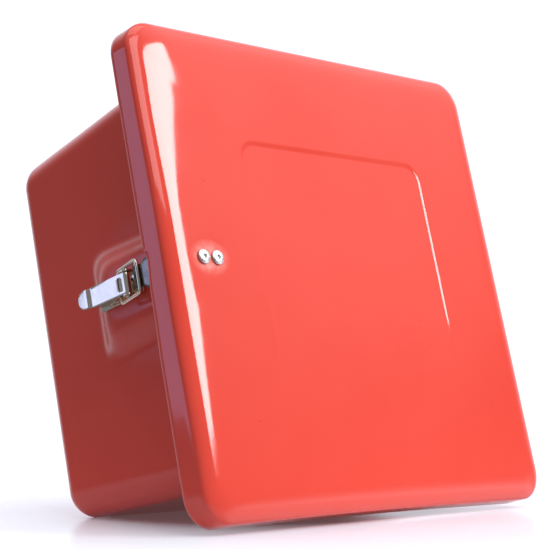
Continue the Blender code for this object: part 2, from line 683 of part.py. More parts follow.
def make_lid_leaf(name, middle):
    """The upper leaf: flat on the rim's outer face, with the two outer knuckles."""
    inner = LID_HALF_Y + GAP
    low = (middle - LEAF_HALF_WIDTH, inner, HINGE_Z + 0.2 * KNUCKLE_RADIUS)
    high = (middle + LEAF_HALF_WIDTH, inner + LEAF, LID_LEAF_TOP)
    leaf = add_object(name, block(low, high), "bright_steel")
    third = LEAF_HALF_WIDTH / 3 + GAP
    low = (middle - third, inner - WALL, HINGE_Z - WALL)
    high = (middle + third, inner + 2 * WALL, HINGE_Z + KNUCKLE_RADIUS + 0.5 * MM)
    cut(leaf, add_object(f"{name}_clearance", block(low, high)))
    join(leaf, knuckle(f"{name}_left_knuckle", middle - LEAF_HALF_WIDTH, middle - third))
    join(leaf, knuckle(f"{name}_right_knuckle", middle + third, middle + LEAF_HALF_WIDTH))
    bore_knuckles(leaf, name, middle)
    for side in (-1, 1):
        x = middle + side * HINGE_RIVET_SPACING
        start = (x, inner - WALL, LID_LEAF_RIVET_Z)
        hole = rod(start, (x, inner + 2 * WALL, LID_LEAF_RIVET_Z), HOLE_RADIUS, 16)
        cut(leaf, add_object(f"{name}_hole_{'left' if side < 0 else 'right'}", hole))
    smooth(leaf)
    return leaf


def make_hinge_pin(name, middle):
    """A hinge pin through the three knuckles."""
    half = LEAF_HALF_WIDTH + 1.3 * MM
    return headed_pin(
        name, (middle, HINGE_Y, HINGE_Z), HINGE_PIN_RADIUS, HINGE_PIN_RADIUS + 0.9 * MM, half,
        LEAF_HALF_WIDTH + GAP, 0.4 * MM,
    )


def make_hinge(side_name, middle):
    """One hinge with its pin, rivets and backing plates. Returns the pieces that move with the lid."""
    make_tub_leaf(f"{side_name}_hinge_tub_leaf", middle)
    make_hinge_pin(f"{side_name}_hinge_pin", middle)
    moving = [make_lid_leaf(f"{side_name}_hinge_lid_leaf", middle)]
    places = [middle - HINGE_RIVET_SPACING, middle + HINGE_RIVET_SPACING]

    tub_seat = PAD_CREST + GAP + LEAF + GAP
    tub_grip = tub_seat - (PAD_CREST - WALL) + GAP + BACKING + GAP
    lid_seat = LID_HALF_Y + GAP + LEAF + GAP
    lid_grip = lid_seat - (LID_HALF_Y - WALL) + GAP
    for number, x in enumerate(places):
        tub_name = f"{side_name}_hinge_tub_rivet_{number + 1}"
        rivet(tub_name, (x, tub_seat, TUB_LEAF_RIVET_Z), (0, -1, 0), tub_grip, PLATE_RIVET_HEAD)
        lid_name = f"{side_name}_hinge_lid_rivet_{number + 1}"
        seat = (x, lid_seat, LID_LEAF_RIVET_Z)
        moving.append(rivet(lid_name, seat, (0, -1, 0), lid_grip, PLATE_RIVET_HEAD))
    backing_plate(
        f"{side_name}_hinge_backing_plate", middle, 1, HINGE_BACKING_HALF_WIDTH,
        TUB_LEAF_RIVET_Z - BACKING_MARGIN, TUB_LEAF_RIVET_Z + BACKING_MARGIN,
        [(x, TUB_LEAF_RIVET_Z) for x in places], PAD_CREST - WALL - GAP,
    )
    return moving


# ---------------------------------------------------------------- assembly

def main():
    make_tub()
    make_latch_base()
    make_lever_pin()
    make_latch_fixings()
    lid_pieces = [make_lid(), make_seal(), make_keeper()] + make_keeper_rivets()
    for side_name, middle in (("left", -HINGE_X), ("right", HINGE_X)):
        lid_pieces += make_hinge(side_name, middle)
    hang_on(axis_empty("lid_hinge_axis", (0, HINGE_Y, HINGE_Z)), lid_pieces)
    hang_on(axis_empty("latch_lever_axis", (0, -LEVER_PIVOT_OUT, LEVER_PIVOT_Z)), [make_lever()])
    hang_on(axis_empty("latch_bail_axis", (0, -BAIL_PIVOT_OUT, BAIL_PIVOT_Z)), [make_bail()])


main()
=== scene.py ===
"""Looks for the moulded lunch box: gel-coated tub and tray lid, bright draw latch, rivets, hinges and seal.

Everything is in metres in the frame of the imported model: +Z out through the lid, -Y the latch side and
+Y the hinges. The box is shown lying tilted on its +X side, so the ground and the lights use their own
directions, given below.
"""
import json
import math

import bmesh
import bpy
from mathutils import Matrix, Vector, noise


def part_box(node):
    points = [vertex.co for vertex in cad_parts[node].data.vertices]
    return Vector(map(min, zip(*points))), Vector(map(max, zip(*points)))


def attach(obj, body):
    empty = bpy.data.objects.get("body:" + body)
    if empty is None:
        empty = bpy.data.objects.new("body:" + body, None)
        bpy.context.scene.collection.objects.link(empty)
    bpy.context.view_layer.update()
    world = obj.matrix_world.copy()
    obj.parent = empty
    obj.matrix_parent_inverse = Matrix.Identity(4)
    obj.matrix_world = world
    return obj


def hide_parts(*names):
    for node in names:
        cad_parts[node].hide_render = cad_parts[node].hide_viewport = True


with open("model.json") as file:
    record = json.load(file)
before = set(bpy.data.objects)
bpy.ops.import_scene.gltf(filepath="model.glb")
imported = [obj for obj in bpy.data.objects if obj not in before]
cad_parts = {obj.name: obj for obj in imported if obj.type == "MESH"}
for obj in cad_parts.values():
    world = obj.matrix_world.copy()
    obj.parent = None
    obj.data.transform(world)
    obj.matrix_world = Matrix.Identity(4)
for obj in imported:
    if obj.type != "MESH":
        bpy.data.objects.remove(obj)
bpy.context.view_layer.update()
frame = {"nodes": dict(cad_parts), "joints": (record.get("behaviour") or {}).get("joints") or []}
NODES = frame["nodes"]
MM = 0.001

# ---------------------------------------------------------------- sizes, read from the frame
LID_LOW, LID_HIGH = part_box("lid")
TUB_LOW, TUB_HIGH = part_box("tub")
SEAL_LOW, SEAL_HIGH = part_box("lid_seal")
LEVER_LOW, LEVER_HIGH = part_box("latch_lever")
BASE_LOW, BASE_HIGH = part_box("latch_base")
BAIL_LOW, BAIL_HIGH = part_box("latch_bail")
KEEPER_LOW, KEEPER_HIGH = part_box("latch_keeper")
JOINTS = {joint["name"]: Vector(joint["pos_m"]) for joint in frame["joints"]}
LEVER_PIVOT = JOINTS["latch_lever_pivot"]
BAIL_PIVOT = JOINTS["latch_bail_pivot"]

WALL = 3 * MM                      # thickness of the moulding
SHEET = 1.2 * MM                   # thickness of the latch's sheet steel
LID_HALF_X = LID_HIGH.x
LID_HALF_Y = LID_HIGH.y
LID_TOP = LID_HIGH.z
RIM_BOTTOM = LID_LOW.z
LID_CORNER = 18 * MM
FLANGE_TOP = TUB_HIGH.z
FLANGE_BOTTOM = FLANGE_TOP - WALL
FLANGE_HALF_X = TUB_HIGH.x
FLANGE_HALF_Y = TUB_HIGH.y
FLANGE_CORNER = 17 * MM
TUB_BASE_HALF_X = 117.5 * MM
TUB_BASE_HALF_Y = 119.5 * MM
TUB_DRAFT = 9.5 * MM               # how much further out each wall stands at the flange than at the base
TUB_CORNER = 17 * MM
TUB_EDGE = 14 * MM                 # rounding between the base and the walls
PAD_CREST = 138 * MM               # distance of a pad's crest from the middle of the box
PAD_HALF_WIDTH = 20 * MM
PAD_BOTTOM = 90 * MM
HINGE_X = 62 * MM                  # distance of each hinge pad from the middle

# ---------------------------------------------------------------- ground, camera and studio directions
TILT = math.radians(14)            # lean of the box from standing on its side
UP = Vector((-math.cos(TILT), 0, math.sin(TILT)))
CAMERA_PLACE = Vector((0.2322, -0.7295, 0.8011))
CAMERA_AHEAD = Vector((-0.2413, 0.7030, -0.6690))
CAMERA_DOWN = Vector((0.9544, 0.0470, -0.2949))
LENS = 102.04
MIDDLE = Vector((0, 0, 0.085))     # the point that the lights aim at
TOWARDS_VIEWER = -(CAMERA_AHEAD - CAMERA_AHEAD.dot(UP) * UP).normalized()
VIEWER_RIGHT = UP.cross(TOWARDS_VIEWER).normalized()


def studio_direction(azimuth, elevation):
    """A direction in the studio: azimuth in degrees from the viewer's side to the right, then elevation."""
    a, e = math.radians(azimuth), math.radians(elevation)
    level = math.cos(a) * TOWARDS_VIEWER + math.sin(a) * VIEWER_RIGHT
    return math.cos(e) * level + math.sin(e) * UP


def make_camera():
    """The viewer's camera, with its right and up directions worked out from its downward one."""
    data = bpy.data.cameras.new("camera")
    data.lens = LENS
    data.sensor_width = 36
    data.clip_start = 0.01
    camera = bpy.data.objects.new("camera", data)
    bpy.context.scene.collection.objects.link(camera)
    ahead = CAMERA_AHEAD.normalized()
    right = CAMERA_DOWN.cross(ahead).normalized()
    up = right.cross(ahead).normalized()
    turn = Matrix((right, up, -ahead)).transposed().to_4x4()
    camera.matrix_world = Matrix.Translation(CAMERA_PLACE) @ turn
    bpy.context.scene.camera = camera


# ---------------------------------------------------------------- node material helpers

class Shader:
    """A small wrapper that builds one procedural material."""

    def __init__(self, name, colour, roughness, metallic=0.0):
        self.material = bpy.data.materials.new(name)
        self.material.use_nodes = True
        self.tree = self.material.node_tree
        self.surface = self.tree.nodes["Principled BSDF"]
        self.set("Base Color", (*colour, 1))
        self.set("Roughness", roughness)
        self.set("Metallic", metallic)
        self.place = self.add("ShaderNodeTexCoord").outputs["Object"]

    def set(self, socket, value):
        self.surface.inputs[socket].default_value = value

    def add(self, kind, **settings):
        node = self.tree.nodes.new(kind)
        for name, value in settings.items():
            setattr(node, name, value)
        return node

    def link(self, source, target):
        self.tree.links.new(source, target)

    def noise(self, scale, detail=3.0, stretch=(1, 1, 1), roughness=0.5):
        """Cloudy noise from 0 to 1, with about the given number of features in a metre."""
        mapping = self.add("ShaderNodeMapping")
        mapping.inputs["Scale"].default_value = stretch
        self.link(self.place, mapping.inputs["Vector"])
        node = self.add("ShaderNodeTexNoise")
        node.inputs["Scale"].default_value = scale
        node.inputs["Detail"].default_value = detail
        node.inputs["Roughness"].default_value = roughness
        self.link(mapping.outputs["Vector"], node.inputs["Vector"])
        return node.outputs["Fac"]

    def cells(self, scale):
        """Distance from the nearest of many scattered points."""
        node = self.add("ShaderNodeTexVoronoi")
        node.inputs["Scale"].default_value = scale
        self.link(self.place, node.inputs["Vector"])
        return node.outputs["Distance"]

    def spread(self, value, low, high, out_low=0.0, out_high=1.0):
        """Stretch a range of values to another range, and hold it there beyond the ends."""
        node = self.add("ShaderNodeMapRange", clamp=True)
        node.inputs["From Min"].default_value = low
        node.inputs["From Max"].default_value = high
        node.inputs["To Min"].default_value = out_low
        node.inputs["To Max"].default_value = out_high
        self.link(value, node.inputs["Value"])
        return node.outputs["Result"]

    def mix_colour(self, amount, first, second):
        """Mix two colours, or a socket and a colour, by a 0 to 1 socket."""
        node = self.add("ShaderNodeMix", data_type="RGBA")
        self.link(amount, node.inputs["Factor"])
        for value, socket in ((first, node.inputs[6]), (second, node.inputs[7])):
            if isinstance(value, tuple):
                socket.default_value = (*value, 1)
            else:
                self.link(value, socket)
        return node.outputs[2]

    def math(self, operation, first, second):
        node = self.add("ShaderNodeMath", operation=operation)
        for value, socket in ((first, node.inputs[0]), (second, node.inputs[1])):
            if isinstance(value, (int, float)):
                socket.default_value = value
            else:
                self.link(value, socket)
        return node.outputs[0]

    def near(self, point, inner, outer, stretch=(1, 1, 1)):
        """1 within the inner distance of a point, falling to 0 at the outer distance."""
        offset = self.add("ShaderNodeVectorMath", operation="SUBTRACT")
        self.link(self.place, offset.inputs[0])
        offset.inputs[1].default_value = point
        scaled = self.add("ShaderNodeVectorMath", operation="MULTIPLY")
        self.link(offset.outputs["Vector"], scaled.inputs[0])
        scaled.inputs[1].default_value = stretch
        length = self.add("ShaderNodeVectorMath", operation="LENGTH")
        self.link(scaled.outputs["Vector"], length.inputs[0])
        return self.spread(length.outputs["Value"], inner, outer, 1.0, 0.0)

    def bump(self, layers):
        """Stack bump layers of (height socket, distance in metres, strength)."""
        previous = None
        for height, distance, strength in layers:
            node = self.add("ShaderNodeBump")
            node.inputs["Strength"].default_value = strength
            node.inputs["Distance"].default_value = distance
            self.link(height, node.inputs["Height"])
            if previous is not None:
                self.link(previous, node.inputs["Normal"])
            previous = node.outputs["Normal"]
        self.link(previous, self.surface.inputs["Normal"])

    def colour_from(self, socket):
        self.link(socket, self.surface.inputs["Base Color"])

    def roughness_from(self, socket):
        self.link(socket, self.surface.inputs["Roughness"])


# ---------------------------------------------------------------- materials

GEL_RED = (0.77, 0.070, 0.044)
GEL_DEEP = (0.74, 0.058, 0.034)
# colour of the painted glow round the lid's rivets
GEL_PAINTED_GLOW = (0.90, 0.30, 0.24)
SPECK = (0.10, 0.01, 0.01)
LATCH_PAD_SPOT = (0.0, -PAD_CREST, PAD_BOTTOM + 14 * MM)


def gelcoat(name, rivet_spot):
    """Glossy red gel coat with faint orange peel, uneven pigment, polish haze and a few dark specks.

    It has a painted pale glow round the lid's rivets, where it is also rougher, and it is duller on the latch
    pad.
    """
    shader = Shader(name, GEL_RED, 0.09)
    shader.set("IOR", 1.52)
    clouds = shader.spread(shader.noise(9, 4), 0.35, 0.7)
    colour = shader.mix_colour(clouds, GEL_RED, GEL_DEEP)
    specks = shader.spread(shader.cells(85), 0.0, 0.055, 1.0, 0.0)
    rare = shader.spread(shader.noise(23, 1), 0.60, 0.64)
    dots = shader.math("MULTIPLY", specks, rare)
    colour = shader.mix_colour(shader.math("MULTIPLY", dots, 0.75), colour, SPECK)
    haze = shader.spread(shader.noise(30, 5, (1, 2.5, 1), 0.65), 0.35, 0.75, 0.055, 0.12)
    # painted glow: a paler, pinker colour round the lid's rivets that stands in for light there, broken up by
    # fine noise
    painted_glow_halo = shader.near(rivet_spot, 6 * MM, 11.5 * MM, (1, 0.72, 1))
    broken = shader.spread(shader.noise(260, 3), 0.3, 0.75, 0.25, 0.8)
    pale = shader.math("MULTIPLY", painted_glow_halo, broken)
    colour = shader.mix_colour(pale, colour, GEL_PAINTED_GLOW)
    haze = shader.math("ADD", haze, shader.math("MULTIPLY", pale, 0.25))
    dull = shader.near(LATCH_PAD_SPOT, 20 * MM, 44 * MM, (0.8, 1, 1))
    shader.colour_from(colour)
    shader.roughness_from(shader.math("ADD", haze, shader.math("MULTIPLY", dull, 0.22)))
    shader.bump([
        (shader.noise(210, 2), 0.00003, 0.35),
        (shader.noise(34, 2), 0.0003, 0.16),
    ])
    return shader.material


def laminate(name):
    """The rough inner side: chopped glass strands under red flow coat."""
    shader = Shader(name, (0.42, 0.045, 0.03), 0.42)
    strands = shader.noise(120, 4, (1, 5, 3), 0.7)
    crossed = shader.noise(120, 4, (5, 1, 3), 0.7)
    woven = shader.math("ADD", strands, crossed)
    tone = shader.spread(woven, 0.7, 1.3)
    shader.colour_from(shader.mix_colour(tone, (0.34, 0.030, 0.020), (0.60, 0.10, 0.07)))
    shader.roughness_from(shader.spread(shader.noise(40, 3), 0.3, 0.7, 0.32, 0.55))
    shader.bump([(woven, 0.0006, 0.5), (shader.noise(45, 3), 0.0012, 0.35)])
    return shader.material


def trimmed_edge(name):
    """The sawn edge of the laminate, where pale glass shows between red skins."""
    shader = Shader(name, (0.8, 0.45, 0.38), 0.55)
    grain = shader.spread(shader.noise(900, 4), 0.3, 0.7)
    shader.colour_from(shader.mix_colour(grain, (0.72, 0.20, 0.15), (0.92, 0.72, 0.64)))
    shader.bump([(shader.noise(700, 3), 0.0004, 0.6)])
    return shader.material


def bright_steel(name, tint=(0.86, 0.89, 0.90), low=0.06, high=0.2):
    """Polished stainless steel with fine drawn lines and faint smears."""
    shader = Shader(name, tint, low, 1.0)
    lines = shader.noise(1500, 3, (1, 1, 0.06))
    smears = shader.noise(160, 4)
    darker = tuple(0.88 * part for part in tint)
    shader.colour_from(shader.mix_colour(shader.spread(smears, 0.3, 0.8), tint, darker))
    shader.roughness_from(shader.spread(shader.math("MULTIPLY", smears, lines), 0.12, 0.42, low, high))
    shader.bump([(lines, 0.00002, 0.25), (smears, 0.0001, 0.05)])
    return shader.material


def dull_aluminium(name):
    """Rivet aluminium: soft grey with tumbling marks."""
    shader = Shader(name, (0.80, 0.80, 0.79), 0.32, 1.0)
    marks = shader.noise(1300, 4)
    worn = shader.spread(marks, 0.3, 0.75)
    shader.colour_from(shader.mix_colour(worn, (0.86, 0.86, 0.85), (0.55, 0.54, 0.53)))
    shader.roughness_from(shader.spread(shader.noise(600, 3), 0.3, 0.7, 0.22, 0.5))
    shader.bump([(marks, 0.00006, 0.4)])
    return shader.material


def foam_rubber(name):
    """Matt black closed-cell foam with fine open pores, each darkened with painted shade."""
    shader = Shader(name, (0.028, 0.028, 0.030), 0.85)
    pores = shader.cells(1400)
    depth = shader.spread(pores, 0.1, 0.7)
    # painted shade: the colour is darker towards the middle of each pore
    shader.colour_from(shader.mix_colour(depth, (0.012, 0.012, 0.013), (0.045, 0.045, 0.048)))
    shader.bump([(pores, 0.0002, 0.6), (shader.noise(90, 3), 0.0005, 0.3)])
    return shader.material


# ---------------------------------------------------------------- mesh helpers

def smooth_step(value):
    """0 below 0, 1 above 1, and an even rise between."""
    value = min(max(value, 0.0), 1.0)
    return value * value * (3 - 2 * value)


def soft_min(a, b, radius):
    """The smaller of two lengths, with a round blend where they meet."""
    h = max(radius - abs(a - b), 0.0) / radius
    return min(a, b) - h * h * radius / 4


def soft_max(a, b, radius):
    """The larger of two lengths, with a round blend where they meet."""
    return -soft_min(-a, -b, radius)


def outline(half_x, half_y, corner, along=120, around=14):
    """Points (x, y, outward x, outward y) anticlockwise round a rounded rectangle."""
    points = []
    centres = ((1, -1, -90), (1, 1, 0), (-1, 1, 90), (-1, -1, 180))
    for number, (sx, sy, start) in enumerate(centres):
        centre = Vector((sx * (half_x - corner), sy * (half_y - corner)))
        for step in range(around):
            angle = math.radians(start + 90 * step / around)
            out = Vector((math.cos(angle), math.sin(angle)))
            spot = centre + corner * out
            points.append((spot.x, spot.y, out.x, out.y))
        angle = math.radians(start + 90)
        out = Vector((math.cos(angle), math.sin(angle)))
        first = centre + corner * out
        next_sx, next_sy, _ = centres[(number + 1) % 4]
        last = Vector((next_sx * (half_x - corner), next_sy * (half_y - corner))) + corner * out
        for step in range(along):
            spot = first.lerp(last, step / along)
            points.append((spot.x, spot.y, out.x, out.y))
    return points


def loft(name, rings, zones=()):
    """A closed skin through rings of points, capped at both ends. zones are (first ring, material)."""
    bm = bmesh.new()
    loops = [[bm.verts.new(p) for p in ring] for ring in rings]
    count = len(loops[0])
    for number, (low, high) in enumerate(zip(loops, loops[1:])):
        index = 0
        for first, material in zones:
            if number >= first:
                index = material
        for k in range(count):
            face = bm.faces.new((low[k], low[(k + 1) % count], high[(k + 1) % count], high[k]))
            face.material_index = index
    bm.faces.new(list(reversed(loops[0])))
    end = bm.faces.new(loops[-1])
    end.material_index = zones[-1][1] if zones else 0
    bmesh.ops.recalc_face_normals(bm, faces=bm.faces)
    return finish_mesh(name, bm)


def finish_mesh(name, bm, sharp=40):
    """Turn a bmesh into a smooth-shaded object whose edges above the sharp angle stay crisp."""
    mesh = bpy.data.meshes.new(name)
    bm.to_mesh(mesh)
    bm.free()
    mesh.shade_smooth()
    mesh.set_sharp_from_angle(angle=math.radians(sharp))
    item = bpy.data.objects.new(name, mesh)
    bpy.context.scene.collection.objects.link(item)
    return item


def settle(item, body, slot, materials, *nodes):
    """Give a finished piece its materials, body and the CAD nodes that it stands for; slot is not used."""
    for material in materials:
        item.data.materials.append(material)
    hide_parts(*nodes)
    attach(item, body)
    return item


def wave(x, y, scale, seed):
    """Smooth noise from -1 to 1 with features of about the given size."""
    return noise.noise(Vector((x / scale, y / scale, seed)))


# ---------------------------------------------------------------- lid

ROUND_REACH = 15.5 * MM            # the edge is rounded as part of an ellipse this wide
ROUND_DROP = 6.6 * MM              # and this deep
ROUND_END = 7.8 * MM               # which gives way to a long, fading slope at this distance from the rim
TAIL = 4 * MM                      # length of that slope on most of the edge
TAIL_TOP_GROWTH = 7.5 * MM         # how much longer it is at the top of the latch side
TAIL_SWELL = 0.7 * MM              # and in a small swell just below the rivets
TAIL_CORNER_LOSS = 1.9 * MM        # how much shorter it is towards the bottom corner
FACE_SINK = 0.35 * MM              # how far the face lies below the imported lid's top, leaving room for waves
FACE_WAVE = 0.12 * MM              # waviness of the hand-laid face
FACE_WAVE_LENGTH = 80 * MM
DISH_DEPTH = 0.10 * MM             # the skin is pulled in round the rivets
DISH_REACH = 9 * MM
DISH_WIDTH = 3.5 * MM
PANEL_LOW = (-79 * MM, -80 * MM)
PANEL_HIGH = (78 * MM, 85 * MM)
PANEL_DEPTH = 0.6 * MM
PANEL_STEP = 2.6 * MM
PANEL_CORNER = 12 * MM
PANEL_FADE_START = 10 * MM         # the recess fades out towards the bottom from here
PANEL_FADE_LENGTH = 65 * MM
PANEL_FADE_SHARE = 0.95            # share of its depth that is lost by then
TRIM_WAVE = 0.22 * MM              # how uneven the trimmed edge is
BOW = 1.1 * MM                     # how far the long lower side is drawn in
BOW_HALF = 125 * MM
RIM_STEPS = 5
RIVET_LOW, RIVET_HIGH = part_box("keeper_rivet_1")
OTHER_LOW, OTHER_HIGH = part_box("keeper_rivet_2")
RIVET_SPOT = (RIVET_LOW + RIVET_HIGH + OTHER_LOW + OTHER_HIGH) / 4
RIVET_SPOT.z = LID_TOP


def tail_length(x, out_x, out_y):
    """How far the slope inside the rounded edge carries on; longest at the top of the latch side."""
    latch_side = TAIL + TAIL_TOP_GROWTH * smooth_step((-x - 25 * MM) / (95 * MM))
    latch_side += TAIL_SWELL * math.exp(-((x - 32 * MM) / (18 * MM)) ** 2)
    latch_side -= TAIL_CORNER_LOSS * smooth_step((x - 35 * MM) / (75 * MM))
    return max(-out_y, 0) ** 2 * latch_side + max(out_y, 0) ** 2 * TAIL + out_x ** 2 * TAIL


def edge_drop(inset, tail):
    """How far the skin has fallen below the face at a distance from the rim."""
    end = 1 - ROUND_END / ROUND_REACH
    end_height = math.sqrt(1 - end * end)
    slope = ROUND_DROP * end / (ROUND_REACH * end_height)
    if inset >= ROUND_END:
        return slope * tail * math.exp((ROUND_END - inset) / tail)
    along = 1 - inset / ROUND_REACH
    return slope * tail + ROUND_DROP * (end_height - math.sqrt(max(1 - along * along, 0.0)))


def panel_sink(x, y):
    """Depth of the shallow square recess in the lid's face."""
    middle_x = (PANEL_LOW[0] + PANEL_HIGH[0]) / 2
    middle_y = (PANEL_LOW[1] + PANEL_HIGH[1]) / 2
    half_x = (PANEL_HIGH[0] - PANEL_LOW[0]) / 2
    half_y = (PANEL_HIGH[1] - PANEL_LOW[1]) / 2
    dx = abs(x - middle_x) - (half_x - PANEL_CORNER)
    dy = abs(y - middle_y) - (half_y - PANEL_CORNER)
    outside = math.hypot(max(dx, 0), max(dy, 0)) + min(max(dx, dy), 0) - PANEL_CORNER
    fade = 1 - PANEL_FADE_SHARE * smooth_step((x - PANEL_FADE_START) / PANEL_FADE_LENGTH)
    return PANEL_DEPTH * fade * smooth_step(0.5 - outside / PANEL_STEP)


def lid_face_height(x, y, inset, tail):
    """Height of the lid's outer skin at a point, for its inset from the rim and the local slope length."""
    inner = smooth_step((inset - 12 * MM) / (25 * MM))
    height = LID_TOP - FACE_SINK - edge_drop(inset, tail)
    height += inner * (FACE_WAVE * wave(x, y, FACE_WAVE_LENGTH, 3.1) - panel_sink(x, y))
    from_rivets = math.hypot(x - RIVET_SPOT.x, 0.8 * (y - RIVET_SPOT.y))
    dish = smooth_step(1 - abs(from_rivets - DISH_REACH) / DISH_WIDTH)
    return height - DISH_DEPTH * dish


def face_ring(rim, inset, underside=False):
    """One ring of the lid's face, or of its underside, which stays flat above the seal."""
    shrink_x, shrink_y = 1 - inset / LID_HALF_X, 1 - inset / LID_HALF_Y
    ring = []
    for x, y, ox, oy in rim:
        px, py = x * shrink_x, y * shrink_y
        height = lid_face_height(px, py, inset, tail_length(x, ox, oy))
        if underside:
            height = max(height - WALL, min(SEAL_HIGH.z, height - 0.8 * MM))
        ring.append((*bowed(px, py, ox), height))
    return ring


def face_insets():
    """Distances of the face's rings from the rim: close at the edge and the recess, wider between."""
    insets = [0.0]
    for step in range(1, 25):
        insets.append(42 * MM * (1 - math.cos(math.radians(90 * step / 24))))
    while insets[-1] < 142 * MM:
        near_recess = 60 * MM < insets[-1] < 82 * MM
        insets.append(insets[-1] + (0.9 * MM if near_recess else 2.6 * MM))
    return insets


def lid_rings():
    """Rings from the middle of the face, over the edge, round the trimmed rim and back underneath."""
    rim = outline(LID_HALF_X, LID_HALF_Y, LID_CORNER)
    rings = [face_ring(rim, inset) for inset in reversed(face_insets())]
    shoulder = rings[-1]
    for step in range(1, RIM_STEPS + 1):
        share = step / RIM_STEPS
        rings.append([(x, y, z + share * (rim_height(x, y) + 0.5 * MM - z)) for x, y, z in shoulder])
    first_edge = len(rings) - 1
    for inset, rise in ((0.4 * MM, 0.0), (WALL - 0.3 * MM, 0.0), (WALL, 0.35 * MM)):
        rings.append([
            (*bowed(x - ox * inset, y - oy * inset, ox), rim_height(x, y) + rise)
            for x, y, ox, oy in rim
        ])
    first_inner = len(rings) - 1
    rings += lid_inner_rings(rim)
    return rings, first_edge, first_inner


def trim_wave(x, y):
    """The hand-trimmed edge isn't quite straight."""
    return TRIM_WAVE * (1 + wave(x, y, 45 * MM, 8.2))


def rim_height(x, y):
    """Lower edge of the rim, cut back a little at the keeper and beside it on the latch side."""
    height = RIM_BOTTOM + trim_wave(x, y)
    if y < 0:
        step = smooth_step((x + 14 * MM) / (6 * MM)) * (1 - smooth_step((x - 28 * MM) / (26 * MM)))
        height += step * (1.1 * MM + 1.4 * MM * math.exp(-((x + 5 * MM) / (10 * MM)) ** 2))
    return height


def bowed(x, y, out_x):
    """The long lower side is drawn in a little in its middle."""
    pull = BOW * max(out_x, 0) ** 2 * max(1 - (y / BOW_HALF) ** 2, 0.0)
    return (x - pull, y)


def lid_inner_rings(rim):
    """The rough inner side: up the rim, round the inner corner and across the underside."""
    radius = 5 * MM
    rings = []
    for step in range(7):
        angle = math.radians(90 * step / 6)
        inset = WALL + radius * (1 - math.cos(angle))
        under = face_ring(rim, WALL + radius, True)
        side = [bowed(x - ox * inset, y - oy * inset, ox) for x, y, ox, oy in rim]
        dip = radius * (1 - math.sin(angle))
        rings.append([(*spot, z - dip) for spot, (_, _, z) in zip(side, under)])
    insets = [inset for inset in face_insets()[::3] if inset > WALL + radius + 2 * MM]
    rings += [face_ring(rim, inset, True) for inset in insets]
    return rings


def make_lid(gel, rough, edge):
    """The tray lid as one closed skin: gel coat outside, trimmed edge, laminate inside."""
    rings, first_edge, first_inner = lid_rings()
    lid = loft("lid_shell", rings, ((0, 0), (first_edge, 2), (first_inner, 1)))
    settle(lid, "lid_body", "gelcoat_red", (gel, rough, edge), "lid")


# ---------------------------------------------------------------- tub

PAD_NARROWING = 0.41               # the inner skin's pads are narrower by this share of the wall
PAD_END_SLOPE = 0.8                # how gently the lower end of a pad runs out
PAD_CORNER = 12 * MM
PAD_SHOULDER = 5 * MM
PAD_FOOT = 4 * MM
WALL_RIPPLE = 0.25 * MM
NOTCH_HALF_WIDTH = 11 * MM
NOTCH_DEPTH = 3.2 * MM
EDGE_EASE = 0.3 * MM               # small chamfer of the flange's edge
WALL_ROWS = 62
BASE_EDGE_STEPS = 11


def pad_reach(x, z, pads, inset):
    """How far out the raised pads stand at a point of a wall, measured from the middle of the box."""
    best = -1.0
    for middle in pads:
        across = abs(x - middle) - (PAD_HALF_WIDTH - PAD_NARROWING * inset)
        below = PAD_END_SLOPE * (PAD_BOTTOM + PAD_NARROWING * inset - z)
        outside = soft_max(across, below, PAD_CORNER)
        crest = PAD_CREST - inset
        best = max(best, soft_min(crest, crest - outside, PAD_SHOULDER))
    return best


def wall_point(x, y, out_x, out_y, z, inset):
    """Push a wall point out where a pad stands, with a round fillet at the pad's foot."""
    for side, pads in ((-1, (0.0,)), (1, (-HINGE_X, HINGE_X))):
        if side * out_y > 0.99:
            reach = pad_reach(x, z, pads, inset)
            y = side * soft_max(side * y, reach, PAD_FOOT)
    ripple = WALL_RIPPLE * wave(x + y, z, 60 * MM, 1.7)
    return (x + out_x * ripple, y + out_y * ripple, z)


def tub_half(z):
    """Half sizes of the drafted tub at a height."""
    lean = TUB_DRAFT * z / FLANGE_TOP
    return (TUB_BASE_HALF_X + lean, TUB_BASE_HALF_Y + lean)


def tub_skin(inset, z_low, z_high):
    """Rings of one skin of the tub, from the middle of the base to the top of the wall."""
    edge = TUB_EDGE - inset
    corner = TUB_CORNER - inset
    rings = []
    base_x, base_y = (h - inset for h in tub_half(z_low))
    for gap in (112 * MM, 85 * MM, 55 * MM, edge + 4 * MM):
        rim = outline(base_x, base_y, corner)
        rings.append([(x * (1 - gap / base_x), y * (1 - gap / base_y), z_low) for x, y, _, _ in rim])
    for step in range(BASE_EDGE_STEPS):
        angle = math.radians(90 * step / BASE_EDGE_STEPS)
        z = z_low + edge * (1 - math.cos(angle))
        half_x, half_y = tub_half(z)
        pull = inset + edge * (1 - math.sin(angle))
        bend = max(corner - 0.8 * edge * (1 - math.sin(angle)), 3 * MM)
        rim = outline(half_x - pull, half_y - pull, bend)
        rings.append([(x, y, z) for x, y, _, _ in rim])
    for step in range(WALL_ROWS + 1):
        z = z_low + edge + (z_high - z_low - edge) * step / WALL_ROWS
        half_x, half_y = tub_half(z)
        rim = outline(half_x - inset, half_y - inset, corner)
        rings.append([wall_point(x, y, ox, oy, z, inset) for x, y, ox, oy in rim])
    return rings


def notch(x, y):
    """The flange's edge is cut back behind the keeper."""
    if y < 0 and abs(x) < NOTCH_HALF_WIDTH:
        return max(y, -(FLANGE_HALF_Y - NOTCH_DEPTH))
    return y


def flange_ring(inset, z):
    """One ring of the turned-out flange."""
    rim = outline(FLANGE_HALF_X - inset, FLANGE_HALF_Y - inset, FLANGE_CORNER - inset)
    return [(x, notch(x, y), z) for x, y, _, _ in rim]


